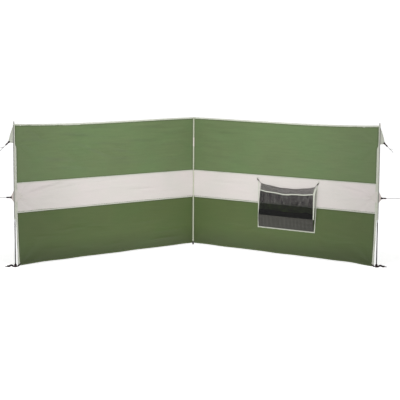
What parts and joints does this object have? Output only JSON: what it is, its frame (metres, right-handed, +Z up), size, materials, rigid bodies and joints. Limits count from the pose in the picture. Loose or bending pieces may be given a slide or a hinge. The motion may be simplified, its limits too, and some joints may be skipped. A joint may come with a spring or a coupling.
{
  "type": "folding windbreak",
  "caption": "Free-standing two-wall camping windbreak on three poles, with fold-together walls, guy cords with runners and a mesh storage pocket.",
  "frame": {"origin": "on the ground at the foot of the centre pole, on its axis", "axes": "+Z up; +X to the right across the open front; the walls run forward along -Y to the outer poles"},
  "size_m": [4.3524, 1.5294, 1.5],
  "materials": {
    "green_fabric": "matt coated polyester",
    "deep_green_fabric": "matt coated polyester",
    "stripe_fabric": "matt coated polyester",
    "cream_tape": "woven binding tape",
    "mesh": "knitted netting",
    "gusset_fabric": "matt polyester",
    "pole_rod": "glass-fibre rod, satin",
    "ferrule_metal": "drawn tube, satin",
    "tip_plastic": "moulded, matt",
    "moulded_plastic": "moulded, matt",
    "runner_plastic": "moulded, satin",
    "webbing": "woven webbing",
    "cord": "braided cord",
    "eyelet_metal": "pressed, satin"
  },
  "bodies": {
    "centre_pole": {"centre_pole_lower": "pole_rod", "centre_pole_middle": "pole_rod", "centre_pole_upper": "pole_rod", "centre_pole_ferrules": "ferrule_metal", "centre_pole_tip": "tip_plastic", "centre_pole_foot": "moulded_plastic", "centre_sleeve": "cream_tape", "centre_guy_patch": "cream_tape"},
    "left_wall": {"left_upper_panel": "green_fabric", "left_stripe_panel": "stripe_fabric", "left_lower_panel": "deep_green_fabric", "left_top_binding": "cream_tape", "left_side_tape": "cream_tape", "left_pole_sleeve": "cream_tape", "left_corner_flap": "cream_tape", "left_mid_tab": "cream_tape", "left_top_guy_cord": "cord", "left_top_guy_knots": "cord", "left_mid_guy_cord": "cord", "left_mid_guy_loop": "cord", "left_foot_strap": "webbing", "left_foot_eyelet": "eyelet_metal"},
    "left_pole": {"left_pole_lower": "pole_rod", "left_pole_middle": "pole_rod", "left_pole_upper": "pole_rod", "left_pole_ferrules": "ferrule_metal", "left_pole_tip": "tip_plastic", "left_pole_foot": "moulded_plastic"},
    "left_top_runner": {"left_top_tensioner": "runner_plastic"},
    "left_mid_runner": {"left_mid_tensioner": "runner_plastic"},
    "right_wall": {"right_upper_panel": "green_fabric", "right_stripe_panel": "stripe_fabric", "right_lower_panel": "deep_green_fabric", "right_top_binding": "cream_tape", "right_side_tape": "cream_tape", "right_pole_sleeve": "cream_tape", "right_corner_flap": "cream_tape", "right_mid_tab": "cream_tape", "right_top_guy_cord": "cord", "right_top_guy_knots": "cord", "right_mid_guy_cord": "cord", "right_mid_guy_loop": "cord", "right_foot_strap": "webbing", "right_foot_eyelet": "eyelet_metal", "pocket_frame_tape": "cream_tape", "pocket_anchor_tabs": "cream_tape"},
    "right_pole": {"right_pole_lower": "pole_rod", "right_pole_middle": "pole_rod", "right_pole_upper": "pole_rod", "right_pole_ferrules": "ferrule_metal", "right_pole_tip": "tip_plastic", "right_pole_foot": "moulded_plastic"},
    "right_top_runner": {"right_top_tensioner": "runner_plastic"},
    "right_mid_runner": {"right_mid_tensioner": "runner_plastic"},
    "pocket": {"pocket_gusset": "gusset_fabric", "pocket_back_mesh": "mesh", "pocket_front_mesh": "mesh", "pocket_rim_tape": "cream_tape", "pocket_corner_cords": "cord"}
  },
  "joints": [
    {"name": "left_wall_swing", "type": "hinge", "parent": "centre_pole", "child": "left_wall", "pos_m": [0, 0, 0], "axis": [0, 0, -1], "range_deg": [-44, 39]},
    {"name": "left_pole_spin", "type": "hinge", "parent": "left_wall", "child": "left_pole", "pos_m": [-1.86515, -1.51037, 0], "axis": [0, 0, 1], "continuous": true},
    {"name": "left_top_runner_slide", "type": "slide", "parent": "left_wall", "child": "left_top_runner", "axis": [-0.7071, 0, -0.7071], "range_m": [0, 0.024]},
    {"name": "left_mid_runner_slide", "type": "slide", "parent": "left_wall", "child": "left_mid_runner", "axis": [-1, 0, 0], "range_m": [0, 0.15]},
    {"name": "right_wall_swing", "type": "hinge", "parent": "centre_pole", "child": "right_wall", "pos_m": [0, 0, 0], "axis": [0, 0, 1], "range_deg": [-44, 39]},
    {"name": "right_pole_spin", "type": "hinge", "parent": "right_wall", "child": "right_pole", "pos_m": [1.86515, -1.51037, 0], "axis": [0, 0, 1], "continuous": true},
    {"name": "right_top_runner_slide", "type": "slide", "parent": "right_wall", "child": "right_top_runner", "axis": [0.7071, 0, -0.7071], "range_m": [0, 0.024]},
    {"name": "right_mid_runner_slide", "type": "slide", "parent": "right_wall", "child": "right_mid_runner", "axis": [1, 0, 0], "range_m": [0, 0.15]},
    {"name": "pocket_fold", "type": "hinge", "parent": "right_wall", "child": "pocket", "pos_m": [0.98797, -0.80596, 0.301], "axis": [0.7771, -0.6293, 0], "range_deg": [0, 115]}
  ]
}
